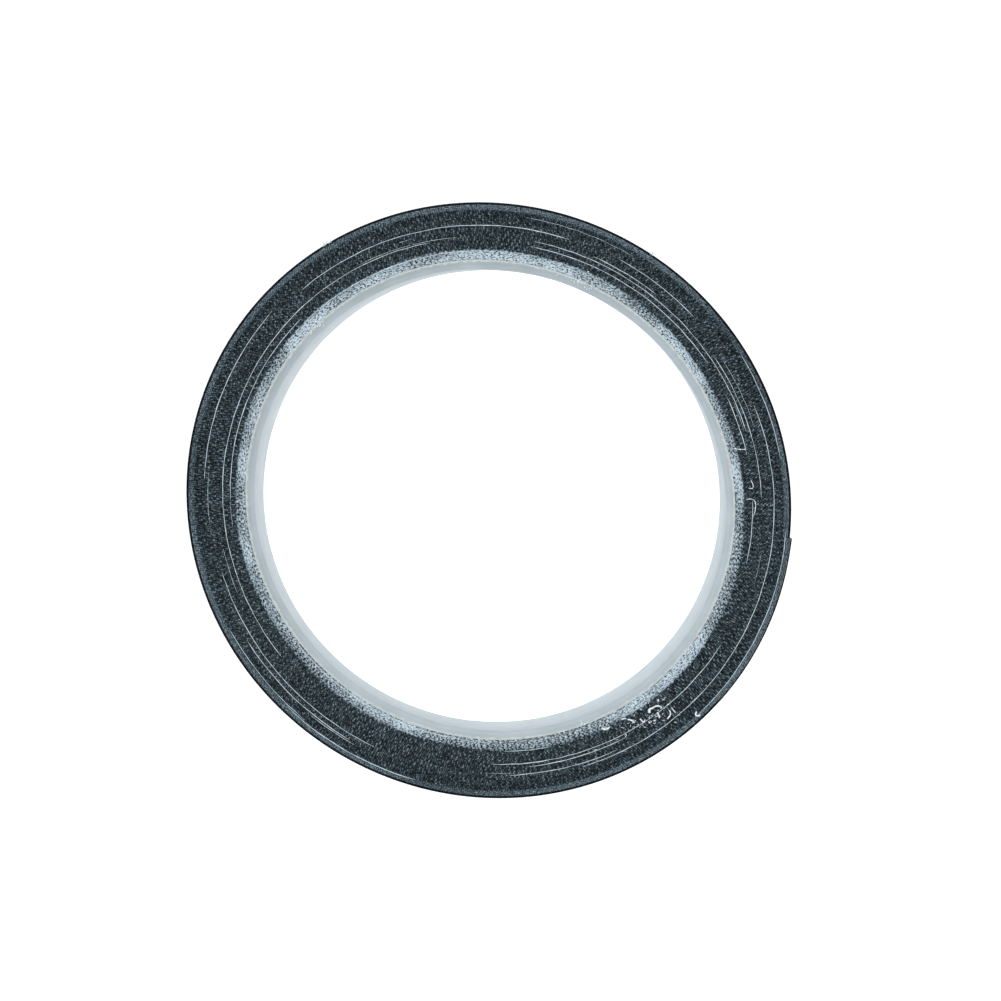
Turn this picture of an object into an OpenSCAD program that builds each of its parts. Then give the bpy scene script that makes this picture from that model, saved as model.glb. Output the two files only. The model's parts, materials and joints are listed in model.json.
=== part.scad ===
// Roll of woven cloth grip tape on a plastic core, lying flat on one of its sides.
// The origin is the centre of the core's bore at the side the roll lies on, and +Z runs along the bore.
// One strip of cloth with adhesive on its inner face is wound on the core as a spiral. It runs outwards
// counter-clockwise, seen from +Z. Its cut end is three short hinged links, so that it can be peeled up.

/* [Core] */
// Bore of the core, which goes over a spindle
core_bore_d = 76.2; // [25:0.1:150]
// Thickness of the core's wall
core_wall = 1.5; // [0.8:0.1:6]

/* [Tape] */
// Width of the tape and of the core, which are slit together
tape_w = 25; // [8:1:60]
// Thickness of the woven cloth
cloth_t = 0.2; // [0.1:0.05:0.5]
// Thickness of the adhesive on the cloth's inner face
adhesive_t = 0.1; // [0.05:0.05:0.3]
// Width of the swollen slit edges, where the cloth is as thick as cloth and adhesive together
edge_w = 0.5; // [0.2:0.1:2]
// Turns of tape on the core
turns = 31; // [2:1:50]

/* [Loose end] */
// Direction of the cut end from the roll's axis, counter-clockwise from +X
end_angle = -7.25; // [-180:0.25:180]
// Arc of the roll that each link of the loose end covers
link_arc = 10; // [4:1:30]
// Gap between the loose end and the turn under it
end_lift = 0.06; // [0.02:0.01:0.2]

/* [Hidden] */
$fn = 180;

core_colour = "#c3cdd2";
cloth_colour = "#2b3136";
adhesive_colour = "#c9c8bd";

// The loose end's links, counted from the one that joins the roll to the one that carries the cut
ROOT = 0;
MIDDLE = 1;
TIP = 2;
links = 3;
// Clearance between one link and the next
link_gap = 0.04;

core_r = core_bore_d / 2 + core_wall;
pitch = adhesive_t + cloth_t;
last_half = 2 * turns - 1;
gap_arc = link_gap / half_turn_r(last_half) * 180 / PI;

// The spiral is made of half turns about two centres half a pitch apart. Each half turn is half a pitch
// larger than the one inside it, so its ends meet its neighbours' ends exactly.
function half_turn_r(half) = core_r + half * pitch / 2;
function half_turn_x(half) = (half % 2) * pitch / 2;

// Where a link starts on the outermost half turn
function link_start(link) = 180 - (links - link) * link_arc;

// Cross-section of the adhesive, with the strip's inner face on the Y axis
module adhesive_profile() {
    translate([0, edge_w]) square([adhesive_t, tape_w - 2 * edge_w]);
}

// Cross-section of the cloth. Its swollen edges touch the turn inside and seal the adhesive in.
module cloth_profile() {
    difference() {
        square([pitch, tape_w]);
        adhesive_profile();
    }
}

// The cross-section in children() along one half turn, between two angles from where that half turn starts
module strip_arc(half, start, end, lift = 0) {
    rotate([0, 0, end_angle])
        translate([half_turn_x(half), 0, 0])
            rotate([0, 0, 180 * (half % 2) + start])
                rotate_extrude(angle = end - start)
                    translate([half_turn_r(half) + lift, 0])
                        children();
}

// Every turn of the strip, up to where the loose end starts
module wound_strip() {
    for (half = [0 : last_half - 1])
        strip_arc(half, 0, 180) children();
    strip_arc(last_half, 0, link_start(ROOT) - gap_arc) children();
}

// One link of the loose end
module end_link(link) {
    end = link_start(link + 1) - (link == TIP ? 0 : gap_arc);
    strip_arc(last_half, link_start(link), end, end_lift) children();
}

module core() {
    color(core_colour)
        difference() {
            cylinder(r = core_r, h = tape_w);
            translate([0, 0, -1]) cylinder(d = core_bore_d, h = tape_w + 2);
        }
}

module cloth_backing() {
    color(cloth_colour) wound_strip() cloth_profile();
}

module adhesive_layer() {
    color(adhesive_colour) wound_strip() adhesive_profile();
}

module end_cloth(link) {
    color(cloth_colour) end_link(link) cloth_profile();
}

module end_adhesive(link) {
    color(adhesive_colour) end_link(link) adhesive_profile();
}

core();
cloth_backing();
adhesive_layer();
end_cloth(ROOT);  // end_cloth_root
end_cloth(MIDDLE);  // end_cloth_middle
end_cloth(TIP);  // end_cloth_tip
end_adhesive(ROOT);  // end_adhesive_root
end_adhesive(MIDDLE);  // end_adhesive_middle
end_adhesive(TIP);  // end_adhesive_tip
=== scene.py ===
"""Looks of the grip tape roll: a long strip of black woven cloth, sticky on its inner face, wound on a
milky plastic core. Every piece is built in strip coordinates, counted in turns from the core outwards and
in shares of one turn's thickness, and then placed on the spiral."""

import json
import math

import bpy
import numpy as np
from mathutils import Matrix, Vector


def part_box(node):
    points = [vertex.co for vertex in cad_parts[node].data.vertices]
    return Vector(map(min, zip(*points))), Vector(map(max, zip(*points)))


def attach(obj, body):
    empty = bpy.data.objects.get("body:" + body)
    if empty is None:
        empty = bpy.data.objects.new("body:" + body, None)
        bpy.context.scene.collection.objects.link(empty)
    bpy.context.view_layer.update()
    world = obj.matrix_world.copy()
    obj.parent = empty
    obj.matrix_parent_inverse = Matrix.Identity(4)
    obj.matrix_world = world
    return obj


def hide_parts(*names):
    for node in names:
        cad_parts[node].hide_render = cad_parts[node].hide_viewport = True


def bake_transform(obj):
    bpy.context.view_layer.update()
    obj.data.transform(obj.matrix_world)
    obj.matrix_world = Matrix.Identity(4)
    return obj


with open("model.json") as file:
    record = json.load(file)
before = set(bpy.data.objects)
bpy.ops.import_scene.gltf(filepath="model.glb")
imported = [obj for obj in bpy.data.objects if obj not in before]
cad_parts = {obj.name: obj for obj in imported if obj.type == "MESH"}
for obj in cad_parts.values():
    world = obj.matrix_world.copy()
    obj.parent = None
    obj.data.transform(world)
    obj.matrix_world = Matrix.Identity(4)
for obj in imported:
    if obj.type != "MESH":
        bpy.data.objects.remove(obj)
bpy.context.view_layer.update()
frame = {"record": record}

MM = 0.001

# The strip and the core, as the frame holds them
CORE_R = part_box("core")[1].x
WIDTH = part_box("core")[1].z
BORE_R = frame["record"]["mounts"][0]["dims"]["r_mm"] * MM
TURNS = 31
PITCH = 0.3 * MM
ADHESIVE_SHARE = 1 / 3
END_ANGLE = math.radians(-7.25)
LINK_TURNS = 10 / 360
LINK_BODIES = ["end_root", "end_middle", "end_tip"]
PEEL_TURN = TURNS - len(LINK_BODIES) * LINK_TURNS
SWOLLEN_EDGE = 0.5 * MM

# How far the loose end bends to each side of a hinge, and where its own pieces start
BEND_TURNS = 0.4 * LINK_TURNS
LOOSE_TURN = PEEL_TURN - BEND_TURNS

# How far it stands off the turn under it: hardly at all, and a little more over the last stretch
END_LIFT = 0.02 * MM
CUT_LIFT = 0.04 * MM
CUT_TURNS = 0.3 * LINK_TURNS

# How the roll is deformed: pressed oval, more at its upper side, and wound thicker on one side
OVAL_ANGLE = math.radians(-31.5)
OVAL_UPPER = 0.87 * MM
OVAL_LOWER = 0.40 * MM
THICKER_ANGLE = math.radians(188)
THICKER_SHARE = 0.0186

# The weave: the spacing of the picks of weft along the strip, and of the warp threads across it
PICK = 0.377 * MM
WARP = 0.42 * MM

# The slit sides are a little rough: the depth of the gaps between turns, how much loose fibre fills them,
# and how far some turns stand proud of others, with a new value every so many turns
SLIT_RELIEF = 0.08 * MM
FLUFF_SHARE = 0.4
PROUD = 0.04 * MM
PROUD_STEP = 0.8

# Radii of the core's edges: crisp outside, and worn round at the bore
CRISP_R = 0.1 * MM
WORN_R = 0.5 * MM

# How far in from the core's outer edge its painted highlight starts and is whole, and between which depths
# down the bore painted light makes the plastic paler, all in mm
EDGE_HIGHLIGHT_REACH = (0.42, 0.15)
PALER_DEPTHS = (1.0, 16.0)

# How finely the meshes follow their shapes
ROWS_PER_TURN = 4
COLUMNS_PER_TURN = 1440
WALL_ROWS = 41
LINK_ROWS = 33
LINK_COLUMNS = 81
CORE_COLUMNS = 720
CORE_STEP = 1.2 * MM
CORNER_POINTS = 5
THREAD_POINTS_PER_TURN = 1100
STRAND_POINTS = 13

# Pale warp threads that the knife has pulled out of the upper side: how deep they lie under the outer
# turn in mm, and where they start and end, in degrees clockwise from +X as seen from above
PULLED_THREADS = [
    (1.1, 6, 46),
    (3.1, -20, 71),
    (3.6, 63, 86),
    (6.3, 0, 14),
    (4.9, 60, 82),
    (5.6, 32, 90),
    (7.5, 76, 87),
    (1.0, 105, 135),
    (2.9, 119, 150),
    (1.5, 130, 154),
    (2.5, 119, 130),
    (3.9, 115, 165),
    (5.7, 143, 257),
    (9.0, 96, 143),
    (2.9, 183, 221),
    (3.7, 228, 287),
    (6.9, 180, 224),
    (7.8, 228, 270),
    (3.4, 298, 318),
    (4.9, 293, 309),
    (4.9, 327, 360),
    (5.6, 279, 345),
    (6.4, 279, 328),
    (6.3, 336, 350),
    (1.0, 330, 352),
]
THREAD_R = 0.065 * MM

# How far a thread sways across its turn, as a share of the turn, how high it lies over the slit side, how
# much of its radius is left at its ends, and over what lengths it sways, and comes and goes
THREAD_SWAY = 0.15
THREAD_LIFT = 0.01 * MM
THREAD_END_SHARE = 0.35
SWAY_STEP = 1.6 * MM
SHOW_STEP = 2.2 * MM

# Faint ones at random places: how many, and the range of their depths and of the degrees they cover
FAINT_THREADS = 15
FAINT_DEPTHS = (1.3, 9.0)
FAINT_ARCS = (5, 25)
FAINT_R = 0.028 * MM

# Shavings of adhesive on the upper side: each one's radius in mm, and the points it passes, as a depth in
# mm and a direction in degrees clockwise
SHAVINGS = [
    (0.25, [(6.3, 53.2), (6.8, 52.7), (6.6, 52.0)]),
    (0.16, [(6.7, 52.4), (6.5, 50.9), (5.7, 50.4)]),
    (0.19, [(5.7, 51.8), (5.2, 51.9), (4.7, 52.1)]),
    (0.18, [(7.3, 50.0), (7.1, 50.0), (7.0, 50.1)]),
    (0.15, [(7.9, 59.1), (7.8, 58.6), (7.6, 58.1)]),
    (0.15, [(7.4, 58.0), (6.9, 57.3), (6.3, 57.1)]),
    (0.12, [(6.4, 55.6), (6.0, 55.5), (5.5, 55.5)]),
    (0.12, [(5.5, 55.5), (5.7, 55.1), (5.8, 54.8)]),
    (0.12, [(5.2, 54.5), (5.1, 54.4), (4.9, 54.5)]),
    (0.12, [(5.1, 53.9), (5.0, 54.0), (4.9, 53.9)]),
    (0.15, [(4.9, 53.5), (4.8, 53.2), (4.7, 53.1)]),
    (0.19, [(8.1, 64.0), (7.6, 63.2), (7.7, 62.1)]),
    (0.15, [(4.8, 49.6), (4.1, 49.9), (3.8, 51.1)]),
    (0.09, [(4.9, 48.8), (4.3, 48.9), (3.7, 48.9)]),
    (0.14, [(1.6, 45.6), (1.2, 46.3), (0.7, 45.6)]),
    (0.09, [(8.2, 348.0), (7.3, 348.5), (6.3, 348.7)]),
    (0.07, [(6.5, 355.5), (6.2, 357.2), (7.0, 357.3)]),
    (0.06, [(7.5, 359.9), (6.0, 360.4), (6.4, 363.9)]),
    (0.15, [(7.7, 293.1), (7.6, 293.2), (7.5, 293.2)]),
]

# Small crumbs of it: how many, the depth and direction they lie around, and how far they spread
CRUMBS = [
    (45, 6.0, 54, 1.3, 5.0),
    (30, 9.7, 292, 0.35, 2.2),
    (16, 9.8, 225, 0.3, 1.5),
    (8, 9.8, 68, 0.2, 0.8),
]

# How far a crumb reaches in depth and in direction, and the range of crumbs' radii in mm
CRUMB_REACH = (0.22, 0.35)
CRUMB_RADII = (0.03, 0.07)

# Tufts of lint at the outside: the direction of each, how far it spreads, and how many fibres it has
LINT_TUFTS = [(237.5, 1.0, 16), (303.0, 0.7, 6)]
LINT_R = 0.035 * MM

# Colours of the slit sides: from which depth in mm, and the grey of the gaps and of the cut yarn there
SLIT_BANDS = [
    # Painted shade: the outermost stops, to 0.32 mm deep, are near black for the shade where the outer
    # turn rounds over
    (0.00, 0.001, 0.010),
    (0.32, 0.001, 0.030),
    (0.46, 0.003, 0.350),
    (1.05, 0.003, 0.290),
    (1.35, 0.002, 0.220),
    (2.90, 0.002, 0.240),
    (3.40, 0.002, 0.310),
    (4.20, 0.002, 0.250),
    (7.75, 0.002, 0.290),
    (8.00, 0.012, 0.600),
    (8.90, 0.020, 0.740),
    (9.50, 0.030, 0.780),
]
DEEPEST_BAND = 10.0

# Depths in mm between which the colours' boundaries start to wander, the dust on the outermost turns ends,
# and the dust beside the core starts
WANDERING = (1.5, 4.0)
DUSTY_OUTSIDE = (1.35, 1.05)
DUSTY_INSIDE = (7.75, 8.05)

# A pick's cut end: how far apart its two rows lie, as a share of a turn, how flat it is, between which
# distances from its middle it fades, and how frayed it is
ROW_SPACING = 0.35
CUT_END_FLATNESS = 0.6
CUT_END_REACH = (0.18 * MM, 0.07 * MM)
FRAY = 0.11 * MM

# The studio's lights: where each one stands, its width and its power in watts
LIGHTS = {
    "overhead": ((0.0, 0.0, 1.6), 0.9, 8),
    "side_left": ((-1.1, 0.7, 0.9), 0.8, 2),
    "side_right": ((1.1, -0.5, 0.9), 0.8, 4),
}
WORLD_COLOUR = (0.95, 0.97, 1.0, 1)
WORLD_STRENGTH = 0.65
FLOOR_HALF = 3.0
FLOOR_GAP = 0.02 * MM

# The camera: how far away it is, how it leans from straight above and towards where, what share of the
# picture the roll spans, and the point of the upper side at the picture's centre
CAMERA_DISTANCE = 0.847
CAMERA_LEAN = math.radians(1.56)
LEAN_TOWARDS = math.radians(74)
ROLL_SHARE = 0.6002
AIM = Vector((1.68 * MM, -0.06 * MM, WIDTH))
SENSOR_MM = 36


# ---------------------------------------------------------------- strip coordinates


def along_strip(turn):
    """Length of strip wound from the core up to a turn."""
    return 2 * math.pi * (CORE_R * turn + PITCH * turn**2 / 2)


def deformed(points):
    """Points of the round roll, moved as the real roll is deformed."""
    x, y, z = points[..., 0], points[..., 1], points[..., 2]
    radius = np.hypot(x, y)
    angle = np.arctan2(y, x)
    oval = OVAL_LOWER + (OVAL_UPPER - OVAL_LOWER) * np.clip(z / WIDTH, 0, 1)
    wound = np.clip(radius - CORE_R, 0, None)
    grown = oval * np.cos(2 * (angle - OVAL_ANGLE))
    grown += THICKER_SHARE * wound * np.cos(angle - THICKER_ANGLE)
    scale = 1 + grown / radius
    return np.stack([x * scale, y * scale, z], axis=-1)


def on_spiral(turn, share, z, lift=0.0):
    """Points at a turn, at a share of the strip's thickness outwards from its inner face, at height z."""
    turn, share, z, lift = np.broadcast_arrays(turn, share, z, lift)
    radius = CORE_R + PITCH * (turn + share) + lift
    angle = END_ANGLE + 2 * math.pi * turn
    return deformed(np.stack([radius * np.cos(angle), radius * np.sin(angle), z], axis=-1))


def rough_line(length, step, rng):
    """A random line: a function of the place along it, from -1 to 1, with a new value every step."""
    spare = 4
    values = rng.uniform(-1, 1, int(length / step) + spare)
    places = np.arange(len(values)) * step
    return lambda place: np.interp(place, places, values)


def smooth_step(value, low, high):
    """0 below low, 1 above high, and a smooth step between them."""
    share = np.clip((value - low) / (high - low), 0, 1)
    return share * share * (3 - 2 * share)


# ---------------------------------------------------------------- meshes


def mesh_object(name, points, faces, attributes=None):
    """A smooth mesh object from arrays of points and quads, with float attributes on its points."""
    mesh = bpy.data.meshes.new(name)
    mesh.vertices.add(len(points))
    mesh.vertices.foreach_set("co", np.asarray(points, np.float32).ravel())
    mesh.loops.add(faces.size)
    mesh.loops.foreach_set("vertex_index", faces.astype(np.int32).ravel())
    mesh.polygons.add(len(faces))
    mesh.polygons.foreach_set("loop_start", np.arange(0, faces.size, 4, dtype=np.int32))
    mesh.update(calc_edges=True)
    mesh.validate()
    mesh.polygons.foreach_set("use_smooth", np.ones(len(mesh.polygons), bool))
    for key, values in (attributes or {}).items():
        layer = mesh.attributes.new(key, "FLOAT", "POINT")
        layer.data.foreach_set("value", np.asarray(values, np.float32).ravel())
    piece = bpy.data.objects.new(name, mesh)
    bpy.context.scene.collection.objects.link(piece)
    return piece


def grid_faces(rows, columns, close_rows=False):
    """Quads of a grid of points stored row by row. close_rows joins the last row to the first."""
    row = np.arange(rows if close_rows else rows - 1)[:, None]
    column = np.arange(columns - 1)[None, :]
    near = row * columns + column
    far = (row + 1) % rows * columns + column
    return np.stack([near, near + 1, far + 1, far], axis=-1).reshape(-1, 4)


def swept_tube(path, radii, sides):
    """Points and quads of a tube along a path, with a radius at each of its points and narrow ends."""
    drawn_in = 0.15
    path = np.asarray(path, float)
    radii = np.asarray(radii, float).copy()
    forward = np.gradient(path, axis=0)
    forward /= np.linalg.norm(forward, axis=1)[:, None] + 1e-12
    steep = np.abs(forward[:, 2:]) > 0.9
    up = np.where(steep, [[1.0, 0.0, 0.0]], [[0.0, 0.0, 1.0]])
    side = np.cross(forward, up)
    side /= np.linalg.norm(side, axis=1)[:, None]
    over = np.cross(side, forward)
    radii[[0, -1]] *= drawn_in
    turn = np.linspace(0, 2 * math.pi, sides, endpoint=False)
    ring = np.cos(turn)[None, :, None] * side[:, None] + np.sin(turn)[None, :, None] * over[:, None]
    points = path[:, None] + radii[:, None, None] * ring
    step = np.arange(len(path) - 1)[:, None] * sides
    corner = np.arange(sides)[None, :]
    near, following = step + corner, step + (corner + 1) % sides
    faces = np.stack([near, following, following + sides, near + sides], axis=-1)
    return points.reshape(-1, 3), faces.reshape(-1, 4)


def joined_tubes(name, tubes):
    """One mesh object from several (points, quads) pairs."""
    points, faces, count = [], [], 0
    for tube_points, tube_faces in tubes:
        points.append(tube_points)
        faces.append(tube_faces + count)
        count += len(tube_points)
    return mesh_object(name, np.concatenate(points), np.concatenate(faces))


# ---------------------------------------------------------------- the slit edges of the strip


class SlitEdge:
    """The height of the strip's edge as the knife left it, over the plane of the slit."""

    def __init__(self, seed):
        rng = np.random.default_rng(seed)
        # Both kinds of line run on a little past the last turn
        length = along_strip(TURNS + 2)
        self.proud = rough_line(TURNS + 4, PROUD_STEP, rng)
        self.fluff = [rough_line(length, PICK, rng) for _ in range(ROWS_PER_TURN)]

    def height(self, turn, share):
        """The height at a turn, for one row of it. The cloth bulges between the gaps at its two faces."""
        fluff = self.fluff[round(share * ROWS_PER_TURN) % ROWS_PER_TURN](along_strip(turn))
        bulge = math.sin(math.pi * share) + FLUFF_SHARE * fluff
        return PROUD * self.proud(turn + share) - SLIT_RELIEF * (1 - np.clip(bulge, 0, 1))


UPPER_EDGE = SlitEdge(seed=11)
LOWER_EDGE = SlitEdge(seed=23)


def slit_face(name, edge, upper, first_turn, last_turn):
    """One slit side of the winding, from one whole turn to another, as a relief that follows the spiral.
    Its points carry the turns wound up to them, the part of a turn they lie at, and their depth in mm."""
    columns = COLUMNS_PER_TURN + 1
    part = np.arange(columns) / COLUMNS_PER_TURN
    shares = [(first_turn + row // ROWS_PER_TURN, row % ROWS_PER_TURN / ROWS_PER_TURN)
              for row in range((last_turn - first_turn) * ROWS_PER_TURN + 1)]
    points, wound = [], []
    if first_turn == 0:
        # One more row, round the core
        points.append(on_spiral(part, -part, WIDTH - SLIT_RELIEF if upper else SLIT_RELIEF))
        wound.append(0 * part)
    for whole, share in shares:
        height = edge.height(whole + part, share)
        points.append(on_spiral(whole + part, share, WIDTH + height if upper else -height))
        wound.append(whole + part + share)
    faces = grid_faces(len(points), columns)
    if last_turn == TURNS:
        # The loose end has its own pieces
        row, column = np.divmod(np.arange(len(faces)), COLUMNS_PER_TURN)
        first_loose = round(LOOSE_TURN % 1 * COLUMNS_PER_TURN)
        loose = (row >= len(points) - 1 - ROWS_PER_TURN) & (column >= first_loose)
        faces = faces[~loose]
    if not upper:
        faces = faces[:, ::-1]
    wound = np.concatenate(wound)
    part = np.tile(part, len(points))
    attributes = {"wound": wound, "part": part, "depth": PITCH * (TURNS + part - wound) / MM}
    return mesh_object(name, np.concatenate(points), faces, attributes)


def edge_heights(turn, share):
    """The heights of the strip's lower and upper edges."""
    return -LOWER_EDGE.height(turn, share), WIDTH + UPPER_EDGE.height(turn, share)


def outer_wall():
    """The woven face of the outermost turn, from under the loose end round to where that end starts."""
    columns = COLUMNS_PER_TURN + 1
    turn = LOOSE_TURN + np.arange(columns) / COLUMNS_PER_TURN
    lower, upper = edge_heights(turn, 0)
    height = lower + (upper - lower) * np.linspace(0, 1, WALL_ROWS)[:, None]
    points = on_spiral(turn, 0.0, height)
    attributes = {"along": np.broadcast_to(along_strip(turn) / MM, height.shape), "across": height / MM}
    return mesh_object("outer_turn", points.reshape(-1, 3), grid_faces(len(height), columns), attributes)


# ---------------------------------------------------------------- the loose end


def end_lift(turn):
    """How far the loose end stands off the turn under it."""
    return END_LIFT + CUT_LIFT * smooth_step(turn, TURNS - CUT_TURNS, TURNS)


def strip_shell(name, start, end, inner, outer, recess):
    """A closed piece of the loose end between two turns and two shares of its thickness. recess sets its
    edges back from the slit. Its second material slot is for the slit edges."""
    just_short = 0.97
    columns = LINK_COLUMNS
    turn = np.linspace(start, end, columns)
    lower, upper = edge_heights(turn, 0.5)
    lower, upper = lower + recess, upper - recess
    rise = np.linspace(0, 1, LINK_ROWS)
    loop = [(outer, part) for part in rise] + [(inner, part) for part in rise[::-1]]
    points, layers = [], {key: [] for key in ("along", "across", "wound", "part", "depth")}
    for share, part in loop:
        height = lower + (upper - lower) * part
        points.append(on_spiral(turn, share, height, end_lift(turn)))
        # Just short of the next turn at the outer face, so that the slit shader finds this one
        wound = turn + just_short * share
        fraction = turn - (TURNS - 1)
        depth = PITCH * (TURNS + fraction - wound) / MM
        for key, value in zip(layers, (along_strip(turn) / MM, height / MM, wound, fraction, depth)):
            layers[key].append(value)
    faces = grid_faces(len(loop), columns, close_rows=True)
    slit = np.isin(np.arange(len(faces)) // (columns - 1), (len(rise) - 1, len(loop) - 1))
    for column in (0, columns - 1):
        row = np.arange(len(rise) - 1)
        corners = np.stack([row, row + 1, len(loop) - 2 - row, len(loop) - 1 - row], axis=-1)
        cap = corners * columns + column
        faces = np.concatenate([faces, cap if column else cap[:, ::-1]])
        slit = np.concatenate([slit, np.ones(len(cap), bool)])
    attributes = {key: np.concatenate(values) for key, values in layers.items()}
    piece = mesh_object(name, np.concatenate(points), faces, attributes)
    piece.data.polygons.foreach_set("material_index", slit.astype(np.int32))
    return piece


def loose_end(cloth_materials, film_materials):
    """The loose end's cloth and adhesive, in one piece for each of its hinges."""
    cloths = []
    for index, link in enumerate(LINK_BODIES):
        hinge_turn = PEEL_TURN + index * LINK_TURNS
        start = hinge_turn - 0.5 * LINK_TURNS if index else LOOSE_TURN
        end = hinge_turn + 0.5 * LINK_TURNS if link != LINK_BODIES[-1] else TURNS
        label = link.removeprefix("end_")
        cloth = strip_shell(f"loose_cloth_{label}", start, end, ADHESIVE_SHARE, 1.0, 0.0)
        film = strip_shell(f"loose_adhesive_{label}", start, end, 0.0, ADHESIVE_SHARE, SWOLLEN_EDGE)
        give(cloth, *cloth_materials)
        give(film, *film_materials)
        bend_start = on_spiral(hinge_turn - BEND_TURNS, 1.0, WIDTH / 2).ravel()
        bend_end = on_spiral(hinge_turn + BEND_TURNS, 1.0, WIDTH / 2).ravel()
        for piece, kind, slot in ((cloth, "cloth", "woven_cloth"), (film, "adhesive", "adhesive")):
            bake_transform(piece)
            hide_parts(f"end_{kind}_{label}")
        cloths.append(cloth)
    return cloths


# ---------------------------------------------------------------- threads, shavings and lint


def side_place(depth, clockwise):
    """The part of a turn at a direction in degrees clockwise, and the turns wound there up to a depth."""
    part = (-np.radians(clockwise) - END_ANGLE) / (2 * math.pi) % 1
    return part, TURNS + part - np.asarray(depth) * MM / PITCH


def thread(depth, first, last, radius, rng):
    """A warp thread that lies along one turn on the upper side, and shows more in some places."""
    part, wound = side_place(depth, (first + last) / 2)
    middle = round(float(wound - part) - 0.5) + part
    half = (last - first) / 360 / 2
    count = max(12, round(half * 2 * THREAD_POINTS_PER_TURN))
    taper = 8
    turn = np.linspace(middle + half, middle - half, count)
    place = along_strip(turn)
    length = along_strip(TURNS + 1)
    sway = rough_line(length, SWAY_STEP, rng)(place)
    show = rough_line(length, SHOW_STEP, rng)(place)
    ends = smooth_step(np.arange(count), 0, taper) * smooth_step(np.arange(count)[::-1], 0, taper)
    points = on_spiral(turn, 0.5 + THREAD_SWAY * sway, WIDTH + THREAD_LIFT * (1 + 2 * show))
    thickness = THREAD_END_SHARE + (1 - THREAD_END_SHARE) * ends
    return swept_tube(points, radius * thickness * (0.85 + 0.3 * show), sides=5)


def pulled_threads():
    """The clear pale threads, and faint ones at random places."""
    rng = np.random.default_rng(seed=5)
    tubes = [thread(depth, first, last, THREAD_R, rng) for depth, first, last in PULLED_THREADS]
    for _ in range(FAINT_THREADS):
        first = rng.uniform(0, 360)
        depth = rng.uniform(*FAINT_DEPTHS)
        tubes.append(thread(depth, first, first + rng.uniform(*FAINT_ARCS), FAINT_R, rng))
    return joined_tubes("pulled_threads", tubes)


def strand(points, radius, rng):
    """A lumpy strand on the upper side that passes three places, each a depth in mm and a direction."""
    lift = 0.6
    depth, clockwise = np.array(points, float).T
    share = np.linspace(0, 1, STRAND_POINTS)
    bow = 4 * share * (1 - share)
    path = []
    for values in (depth, clockwise):
        straight = values[0] + (values[2] - values[0]) * share
        path.append(straight + bow * (values[1] - (values[0] + values[2]) / 2))
    part, wound = side_place(*path)
    whole = np.floor(wound)
    height = WIDTH + radius * lift * (1 + 0.5 * np.sin(math.pi * share))
    lumps = 0.8 + 0.35 * rng.uniform(-1, 1, len(share))
    return swept_tube(on_spiral(whole + part, wound - whole - part, height), radius * lumps, sides=8)


def shavings():
    """The shavings of adhesive, and the crumbs that lie round them and along the core."""
    rng = np.random.default_rng(seed=8)
    tubes = [strand(points, radius * MM, rng) for radius, points in SHAVINGS]
    for count, depth, clockwise, depth_spread, clockwise_spread in CRUMBS:
        for _ in range(count):
            centre = np.array([rng.normal(depth, depth_spread), rng.normal(clockwise, clockwise_spread)])
            reach = rng.uniform(-1, 1, (3, 2)) * CRUMB_REACH
            tubes.append(strand(centre + reach, rng.uniform(*CRUMB_RADII) * MM, rng))
    return joined_tubes("adhesive_shavings", tubes)


def lint():
    """Fibres in a few tufts. Each one is rooted in the outermost turn and bows out past it."""
    rng = np.random.default_rng(seed=3)
    tubes = []
    for centre, spread, count in LINT_TUFTS:
        for _ in range(count):
            start = centre + rng.uniform(-spread, spread)
            ends = start + rng.uniform(-0.6, 0.6, 2)
            points = [(0.2, start), (-0.25, ends[0]), (rng.uniform(-0.6, -0.1), ends[1])]
            tubes.append(strand(points, LINT_R, rng))
    return joined_tubes("lint", tubes)


# ---------------------------------------------------------------- the core


def core_ring():
    """The core: a thin tube with rounded edges, deformed with the roll."""
    corner = np.linspace(0, math.pi / 2, CORNER_POINTS)
    outline = []
    for edge_r, centre_r, centre_z, start in (
        (CRISP_R, CORE_R - CRISP_R, WIDTH - CRISP_R, 0.0),
        (WORN_R, BORE_R + WORN_R, WIDTH - WORN_R, math.pi / 2),
        (WORN_R, BORE_R + WORN_R, WORN_R, math.pi),
        (CRISP_R, CORE_R - CRISP_R, CRISP_R, 1.5 * math.pi),
    ):
        for angle in start + corner:
            outline.append((centre_r + edge_r * math.cos(angle), centre_z + edge_r * math.sin(angle)))
    outline = refined(outline, CORE_STEP)
    columns = CORE_COLUMNS + 1
    angle = np.linspace(0, 2 * math.pi, columns)[None, :]
    radius = np.array([point[0] for point in outline])[:, None] + 0 * angle
    height = np.array([point[1] for point in outline])[:, None] + 0 * angle
    points = deformed(np.stack([radius * np.cos(angle), radius * np.sin(angle), height], axis=-1))
    faces = grid_faces(len(outline), columns, close_rows=True)
    faces = np.where(faces % columns == columns - 1, faces - (columns - 1), faces)
    attributes = {"radius": radius / MM, "across": height / MM}
    return mesh_object("core_tube", points.reshape(-1, 3), faces[:, ::-1], attributes)


def refined(outline, step):
    """A closed outline with points added so that no side is longer than step."""
    result = []
    for index, start in enumerate(outline):
        end = outline[(index + 1) % len(outline)]
        pieces = max(1, math.ceil(math.dist(start, end) / step))
        for piece in range(pieces):
            share = piece / pieces
            result.append(tuple(a + (b - a) * share for a, b in zip(start, end)))
    return result


# ---------------------------------------------------------------- materials


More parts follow.
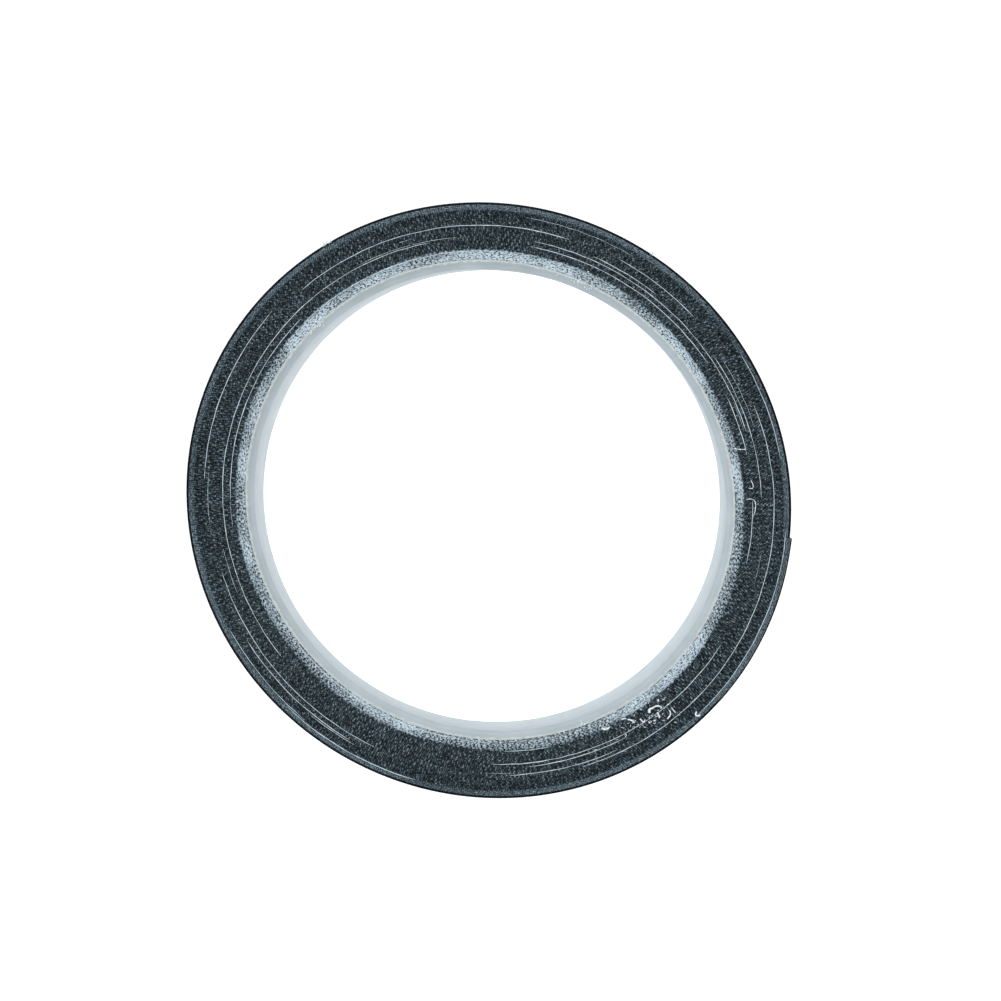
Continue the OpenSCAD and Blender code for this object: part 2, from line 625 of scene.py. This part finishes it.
class Shader:
    """A new material's node tree, with one call to add a node."""

    def __init__(self, name):
        self.material = bpy.data.materials.new(name)
        self.material.use_nodes = True
        self.tree = self.material.node_tree
        self.surface = self.tree.nodes["Principled BSDF"]

    def add(self, kind, inputs=None, **settings):
        """Adds a node. An input's value is a number, a colour, or another node's output to link."""
        node = self.tree.nodes.new(kind)
        for key, value in settings.items():
            setattr(node, key, value)
        for key, value in (inputs or {}).items():
            self.feed(node.inputs[key], value)
        return node

    def feed(self, socket, value):
        """Gives an input its value, or links it to another node's output."""
        if isinstance(value, bpy.types.NodeSocket):
            self.tree.links.new(value, socket)
        else:
            socket.default_value = value

    def set(self, **inputs):
        """Sets the surface shader's inputs, named with _ for spaces."""
        for key, value in inputs.items():
            self.feed(self.surface.inputs[key.replace("_", " ")], value)

    def math(self, operation, first, second=0.0, third=0.0, clamp=False):
        """The result of one arithmetic operation."""
        inputs = {0: first, 1: second, 2: third}
        return self.add("ShaderNodeMath", inputs, operation=operation, use_clamp=clamp).outputs[0]

    def place(self):
        """The point in the part's own frame, in metres."""
        return self.add("ShaderNodeTexCoord").outputs["Object"]

    def value(self, attribute):
        """A number that the mesh carries at each point."""
        return self.add("ShaderNodeAttribute", attribute_name=attribute).outputs["Fac"]

    def noise(self, size, detail=2.0, vector=None):
        """Noise from 0 to 1 whose blobs are about size across."""
        inputs = {"Vector": vector or self.place(), "Scale": 1 / size, "Detail": detail}
        return self.add("ShaderNodeTexNoise", inputs).outputs["Fac"]

    def tinted(self, colour, factor):
        """A colour times a number."""
        return self.mix(1.0, colour, (factor, factor, factor, 1), "MULTIPLY")

    def product(self, first, *others):
        """All the numbers times each other."""
        for other in others:
            first = self.math("MULTIPLY", first, other)
        return first

    def blend(self, share, first, second):
        """A number that goes from first to second as share goes from 0 to 1."""
        return self.add("ShaderNodeMix", {"Factor": share, 2: first, 3: second}).outputs[0]

    def streaks(self, place, height, size, stretch):
        """Noise in strip coordinates, whose blobs are drawn out along the strip by 1 / stretch."""
        return self.noise(size, vector=self.vector(self.math("MULTIPLY", place, stretch), height))

    def vector(self, x, y):
        """A point in a plane, for noise that follows the strip or the core."""
        return self.add("ShaderNodeCombineXYZ", {"X": x, "Y": y}).outputs[0]

    def around_zero(self, noise, swing):
        """Noise from 0 to 1, moved to lie around 0 and scaled."""
        return self.math("MULTIPLY_ADD", noise, 2 * swing, -swing)

    def between(self, value, low, high):
        """A smooth step from 0 at low to 1 at high."""
        inputs = {"Value": value, "From Min": low, "From Max": high}
        return self.add("ShaderNodeMapRange", inputs, interpolation_type="SMOOTHSTEP").outputs["Result"]

    def bands(self, depth, column):
        """The slit side's colour by depth, from a column of SLIT_BANDS."""
        share = self.math("DIVIDE", depth, DEEPEST_BAND)
        return self.ramp(share, [(band[0] / DEEPEST_BAND, grey(band[column])) for band in SLIT_BANDS])

    def ramp(self, factor, stops):
        """A colour ramp from (place, colour) pairs."""
        node = self.add("ShaderNodeValToRGB", {"Fac": factor})
        elements = node.color_ramp.elements
        while len(elements) < len(stops):
            elements.new(1.0)
        for element, (position, colour) in zip(elements, stops):
            element.position = position
            element.color = (*colour, 1.0)
        return node.outputs["Color"]

    def mix(self, factor, first, second, blend="MIX"):
        """A colour that goes from first to second as factor goes from 0 to 1."""
        node = self.add("ShaderNodeMix", data_type="RGBA", blend_type=blend)
        self.feed(node.inputs["Factor"], factor)
        self.feed(node.inputs[6], first)
        self.feed(node.inputs[7], second)
        return node.outputs[2]

    def bump(self, height, distance):
        """Gives the surface fine relief, with height from 0 to 1 and distance its depth."""
        inputs = {"Height": height, "Distance": distance, "Strength": 1.0}
        self.set(Normal=self.add("ShaderNodeBump", inputs).outputs["Normal"])


def grey(value):
    """A cool grey, with value as its green. The darker it is, the bluer."""
    blue = 0.34 - 0.24 * value
    return (value * (1 - blue), value, value * (1 + 0.6 * blue))


def slit_cloth():
    """The cut ends of the weft, in two staggered rows on each turn, over dark gaps. Dust of adhesive makes
    them pale beside the core and a little at the outside."""
    shader = Shader("slit_cloth")
    wound, part = shader.value("wound"), shader.value("part")
    turn = shader.math("ADD", shader.math("FLOOR", shader.math("SUBTRACT", wound, part)), part)
    share = shader.math("SUBTRACT", wound, turn)
    mean_r = shader.math("MULTIPLY_ADD", turn, PITCH / 2, CORE_R)
    place = shader.math("MULTIPLY", shader.math("MULTIPLY", turn, 2 * math.pi), mean_r)
    height = shader.math("MULTIPLY", wound, PITCH)

    picks, side, luck, cut_end = cut_ends(shader, place, share)
    black = black_side(shader, place, height, side, luck, cut_end)
    outermost = shader.between(shader.value("depth"), *DUSTY_OUTSIDE)
    tone = shader.blend(outermost, black, dusty_outside(shader, place, height, cut_end))
    depth = wandering_depth(shader)
    innermost = shader.between(depth, *DUSTY_INSIDE)
    tone = shader.blend(innermost, tone, dusty_inside(shader, place, height, wound, picks, side, cut_end))
    colour = shader.mix(tone, shader.bands(depth, 1), shader.bands(depth, 2))
    shader.set(Base_Color=colour, Roughness=0.85, Specular_IOR_Level=0.05)
    shader.bump(tone, distance=0.05 * MM)
    return shader.material


def wandering_depth(shader):
    """The depth, moved a little in and out so that the colours' boundaries aren't true circles."""
    wander = shader.around_zero(shader.noise(0.5 * MM, detail=3.0), swing=0.35)
    drift = shader.around_zero(shader.noise(25 * MM, detail=1.0), swing=0.45)
    uneven = shader.between(shader.value("depth"), *WANDERING)
    moved = shader.math("MULTIPLY", shader.math("ADD", wander, drift), uneven)
    return shader.math("ADD", shader.value("depth"), moved)


def cut_ends(shader, place, share):
    """The picks counted along the strip, the row each one's cut end lies in (-0.5 or 0.5), its luck from 0
    to 1, and where the cut end is, from 0 to 1 with a frayed outline."""
    jitter = shader.around_zero(shader.noise(5 * MM, detail=1.0), swing=3.0)
    fine = shader.around_zero(shader.noise(0.7 * MM, detail=1.0), swing=0.7)
    picks = shader.math("ADD", shader.math("DIVIDE", place, PICK), shader.math("ADD", jitter, fine))
    pick = shader.math("FLOOR", picks)
    luck = shader.add("ShaderNodeTexWhiteNoise", {"W": pick}, noise_dimensions="1D").outputs["Value"]
    side = shader.math("SUBTRACT", shader.math("FLOORED_MODULO", pick, 2.0), 0.5)
    middle = shader.math("MULTIPLY_ADD", side, ROW_SPACING, 0.5)
    aside = shader.math("MULTIPLY", shader.math("SUBTRACT", share, middle), CUT_END_FLATNESS * PITCH)
    ahead = shader.math("SUBTRACT", shader.math("SUBTRACT", picks, pick), 0.5)
    offset = shader.vector(shader.math("MULTIPLY", ahead, PICK), aside)
    distance = shader.add("ShaderNodeVectorMath", {0: offset}, operation="LENGTH").outputs["Value"]
    fray = shader.around_zero(shader.noise(0.12 * MM), swing=FRAY)
    cut_end = shader.between(shader.math("ADD", distance, fray), *CUT_END_REACH)
    return picks, side, luck, cut_end


def black_side(shader, place, height, side, luck, cut_end):
    """How pale the black turns are: uneven cut ends, and smudges and streaks along the strip."""
    lively = shader.blend(luck, 0.20, 1.05)
    row = shader.math("MULTIPLY_ADD", side, 0.55, 0.70)
    blotch = shader.blend(shader.between(shader.noise(0.35 * MM), 0.32, 0.66), 0.15, 1.30)
    ends = shader.product(cut_end, lively, row, blotch)
    smudge = shader.between(shader.streaks(place, height, size=0.15 * MM, stretch=0.35), 0.50, 0.72)
    streak = shader.between(shader.streaks(place, height, size=0.20 * MM, stretch=0.05), 0.60, 0.78)
    marks = shader.math("MAXIMUM", shader.product(smudge, 0.22), shader.product(streak, 0.42))
    return shader.math("MAXIMUM", ends, marks)


def dusty_outside(shader, place, height, cut_end):
    """How pale the outermost turns are: dust in streaks and on the cut ends, more of it in patches."""
    dust = shader.between(shader.streaks(place, height, size=0.13 * MM, stretch=0.22), 0.50, 0.63)
    patches = shader.blend(shader.between(shader.noise(30 * MM, detail=1.0), 0.35, 0.65), 0.5, 1.0)
    return shader.product(shader.math("MULTIPLY_ADD", cut_end, 0.5, dust), patches)


def dusty_inside(shader, place, height, wound, picks, side, cut_end):
    """How pale the innermost turns are: dusty, with holes in one row of each turn, closed in places by
    smears, and dark dashes on the turn beside the core."""
    smears = shader.between(shader.noise(9 * MM), 0.38, 0.60)
    beside_core = shader.between(wound, 4.5, 1.5)
    smears = shader.math("MAXIMUM", smears, shader.product(beside_core, 0.6))
    grain = shader.streaks(place, height, size=0.18 * MM, stretch=0.45)
    cover = shader.product(shader.between(grain, 0.36, 0.52), smears)
    grit = shader.blend(shader.between(grain, 0.38, 0.62), 0.15, 1.0)
    hole = shader.product(cut_end, shader.math("SUBTRACT", 0.6, side), shader.math("SUBTRACT", 1.0, cover))
    wave = shader.math("SINE", shader.product(picks, 0.8 * math.pi))
    worn = shader.between(shader.noise(14 * MM), 0.42, 0.60)
    dash = shader.product(shader.between(wave, -0.3, 0.6), shader.between(wound, 1.2, 0.7), worn, 0.75)
    pale = shader.math("SUBTRACT", shader.math("MAXIMUM", grit, cover), hole, clamp=True)
    return shader.product(pale, shader.math("SUBTRACT", 1.0, dash))


def woven_cloth():
    """The cloth's woven face: warp along the strip, weft across it."""
    shader = Shader("woven_cloth")
    weft = shader.math("MULTIPLY", shader.value("along"), math.pi / (PICK / MM))
    warp = shader.math("MULTIPLY", shader.value("across"), math.pi / (WARP / MM))
    weft_wave, warp_wave = shader.math("SINE", weft), shader.math("SINE", warp)
    over = shader.math("MULTIPLY", weft_wave, warp_wave)
    side = shader.math("GREATER_THAN", over, 0.0)
    weft_top = shader.math("ABSOLUTE", weft_wave)
    warp_top = shader.math("ABSOLUTE", warp_wave)
    height = shader.blend(side, weft_top, warp_top)
    fibre = shader.noise(0.12 * MM, detail=3.0)
    wear = shader.noise(9 * MM, detail=4.0)
    tone = shader.product(shader.blend(0.4, height, fibre), shader.blend(wear, 0.6, 1.2))
    cloth = shader.ramp(tone, [(0.15, grey(0.002)), (0.85, grey(0.055))])
    shader.set(Base_Color=cloth, Roughness=0.85, Specular_IOR_Level=0.15)
    shader.bump(tone, distance=0.05 * MM)
    return shader.material


def pale_yarn():
    """Undyed cotton thread."""
    shader = Shader("pale_yarn")
    tone = shader.noise(0.8 * MM)
    shader.set(Base_Color=shader.ramp(tone, [(0.3, grey(0.50)), (0.7, grey(0.95))]), Roughness=0.8)
    shader.bump(shader.noise(0.05 * MM), distance=0.01 * MM)
    return shader.material


def milky_plastic():
    """The core's plastic: milky and a little translucent, with fine rings from the slitting knife and a
    painted highlight at its outer edge. Painted shade makes it darker on one side of the roll, and painted
    light makes it paler deep in the bore."""
    shader = Shader("milky_plastic")
    radius = shader.value("radius")
    # One length that falls inwards over the upper face and on down the bore, so that rings follow both
    profile = shader.math("ADD", radius, shader.value("across"))
    rings = shader.noise(0.25, vector=shader.vector(profile, 0.0))
    clouds = shader.noise(4 * MM, detail=4.0)
    tone = shader.blend(0.5, clouds, rings)
    plastic = shader.ramp(tone, [(0.3, (0.39, 0.455, 0.485)), (0.7, (0.53, 0.590, 0.620))])
    # Painted light and shade: the core is darker towards -X +Y and lighter towards +X -Y, as if lit from
    # that side
    inputs = {0: shader.place(), 1: (0.7, -0.7, 0)}
    across_roll = shader.add("ShaderNodeVectorMath", inputs, operation="DOT_PRODUCT").outputs["Value"]
    painted_side_light = shader.between(across_roll, -CORE_R, CORE_R)
    plastic = shader.mix(painted_side_light, shader.tinted(plastic, 0.86), plastic)
    # Painted light: the plastic of the bore's wall turns paler deeper down
    rim = (BORE_R + WIDTH) / MM
    deep = shader.between(profile, *[rim - depth for depth in PALER_DEPTHS])
    plastic = shader.mix(deep, plastic, shader.tinted(plastic, 1.1))
    # Painted highlight: a pale, ragged line just inside the core's outer edge
    ragged = shader.math("ADD", radius, shader.around_zero(shader.noise(0.7 * MM, detail=3.0), swing=0.35))
    edge_highlight = shader.between(ragged, *[CORE_R / MM - reach for reach in EDGE_HIGHLIGHT_REACH])
    shader.set(Base_Color=shader.mix(edge_highlight, plastic, (0.66, 0.72, 0.70, 1)), Roughness=0.5)
    shader.set(Subsurface_Weight=0.7, Subsurface_Radius=(1.0, 1.0, 1.0), Subsurface_Scale=2.0 * MM)
    shader.set(Specular_IOR_Level=0.25)
    shader.bump(rings, distance=0.008 * MM)
    return shader.material


def adhesive():
    """Rubber adhesive: off-white, tacky and slightly glossy."""
    shader = Shader("adhesive")
    strings = shader.noise(0.6 * MM, detail=4.0)
    shader.set(Base_Color=shader.ramp(strings, [(0.3, (0.80, 0.88, 0.92)), (0.7, (0.92, 0.97, 0.99))]))
    shader.set(Roughness=0.35)
    shader.bump(strings, distance=0.03 * MM)
    return shader.material


def pale_floor():
    """A white floor that glows a little, so that it stays white at every angle."""
    shader = Shader("pale_floor")
    grain = shader.noise(40 * MM)
    shader.set(Base_Color=shader.ramp(grain, [(0.3, (0.86, 0.86, 0.86)), (0.7, (0.88, 0.88, 0.88))]))
    shader.set(Roughness=0.9, Emission_Color=(1, 1, 1, 1), Emission_Strength=0.6)
    return shader.material


def give(piece, *materials):
    """Gives a piece its materials, in the order of its slots."""
    for material in materials:
        piece.data.materials.append(material)


# ---------------------------------------------------------------- the studio


def make_floor():
    """The white surface that the roll lies on."""
    corners = [(-1, -1), (1, -1), (1, 1), (-1, 1)]
    points = [(FLOOR_HALF * x, FLOOR_HALF * y, -FLOOR_GAP) for x, y in corners]
    floor = mesh_object("floor", points, np.array([[0, 1, 2, 3]]))
    give(floor, pale_floor())


def make_light(name, place, size, watts):
    """A soft square light that faces the roll and doesn't show itself."""
    light = bpy.data.lights.new(name, "AREA")
    light.size = size
    light.energy = watts
    lamp = bpy.data.objects.new(name, light)
    lamp.location = place
    lamp.rotation_euler = (-Vector(place)).to_track_quat("-Z", "Y").to_euler()
    lamp.visible_camera = False
    bpy.context.scene.collection.objects.link(lamp)


def make_studio():
    """The floor, the lights and a pale surrounding light."""
    make_floor()
    for name, (place, size, watts) in LIGHTS.items():
        make_light(name, place, size, watts)
    world = bpy.data.worlds.new("studio")
    world.use_nodes = True
    background = world.node_tree.nodes["Background"]
    background.inputs["Color"].default_value = WORLD_COLOUR
    background.inputs["Strength"].default_value = WORLD_STRENGTH
    bpy.context.scene.world = world
    bpy.context.scene.view_settings.view_transform = "Standard"


def make_camera():
    """Nearly straight above, leaning a little so that the bore's wall shows on the far side."""
    level, upright = math.sin(CAMERA_LEAN), math.cos(CAMERA_LEAN)
    away = Vector((level * math.cos(LEAN_TOWARDS), level * math.sin(LEAN_TOWARDS), upright))
    picture_width = 2 * (CORE_R + PITCH * (TURNS + 0.5)) / ROLL_SHARE
    data = bpy.data.cameras.new("camera")
    data.sensor_width = SENSOR_MM
    data.lens = SENSOR_MM * CAMERA_DISTANCE / picture_width
    camera = bpy.data.objects.new("camera", data)
    camera.location = AIM + away * CAMERA_DISTANCE
    sideways = Vector((0, 1, 0)).cross(away).normalized()
    upwards = away.cross(sideways)
    camera.rotation_euler = Matrix((sideways, upwards, away)).transposed().to_euler()
    bpy.context.scene.collection.objects.link(camera)
    bpy.context.scene.camera = camera


# ---------------------------------------------------------------- assembly

make_camera()
make_studio()

slit_material = slit_cloth()
woven_material = woven_cloth()
adhesive_material = adhesive()
yarn = pale_yarn()


def on_roll(piece, material, slot, *nodes):
    """Makes a piece part of the wound roll, with its material and the nodes it stands for. Its slot is not
    used.
    """
    give(piece, material)
    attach(piece, "roll")
    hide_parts(*nodes)


halfway = TURNS // 2
for name, edge, upper, first, last in (
    ("slit_upper_inner", UPPER_EDGE, True, 0, halfway),
    ("slit_upper_outer", UPPER_EDGE, True, halfway, TURNS),
    ("slit_lower_inner", LOWER_EDGE, False, 0, halfway),
    ("slit_lower_outer", LOWER_EDGE, False, halfway, TURNS),
):
    on_roll(slit_face(name, edge, upper, first, last), slit_material, "woven_cloth", "cloth_backing")

wall = outer_wall()
on_roll(wall, woven_material, "woven_cloth", "cloth_backing")
loose_cloths = loose_end((woven_material, slit_material), (adhesive_material, adhesive_material))
on_roll(core_ring(), milky_plastic(), "core_plastic", "core")
on_roll(pulled_threads(), yarn, "woven_cloth", "cloth_backing")
on_roll(shavings(), adhesive_material, "adhesive", "adhesive_layer")
on_roll(lint(), yarn, "woven_cloth", "cloth_backing")
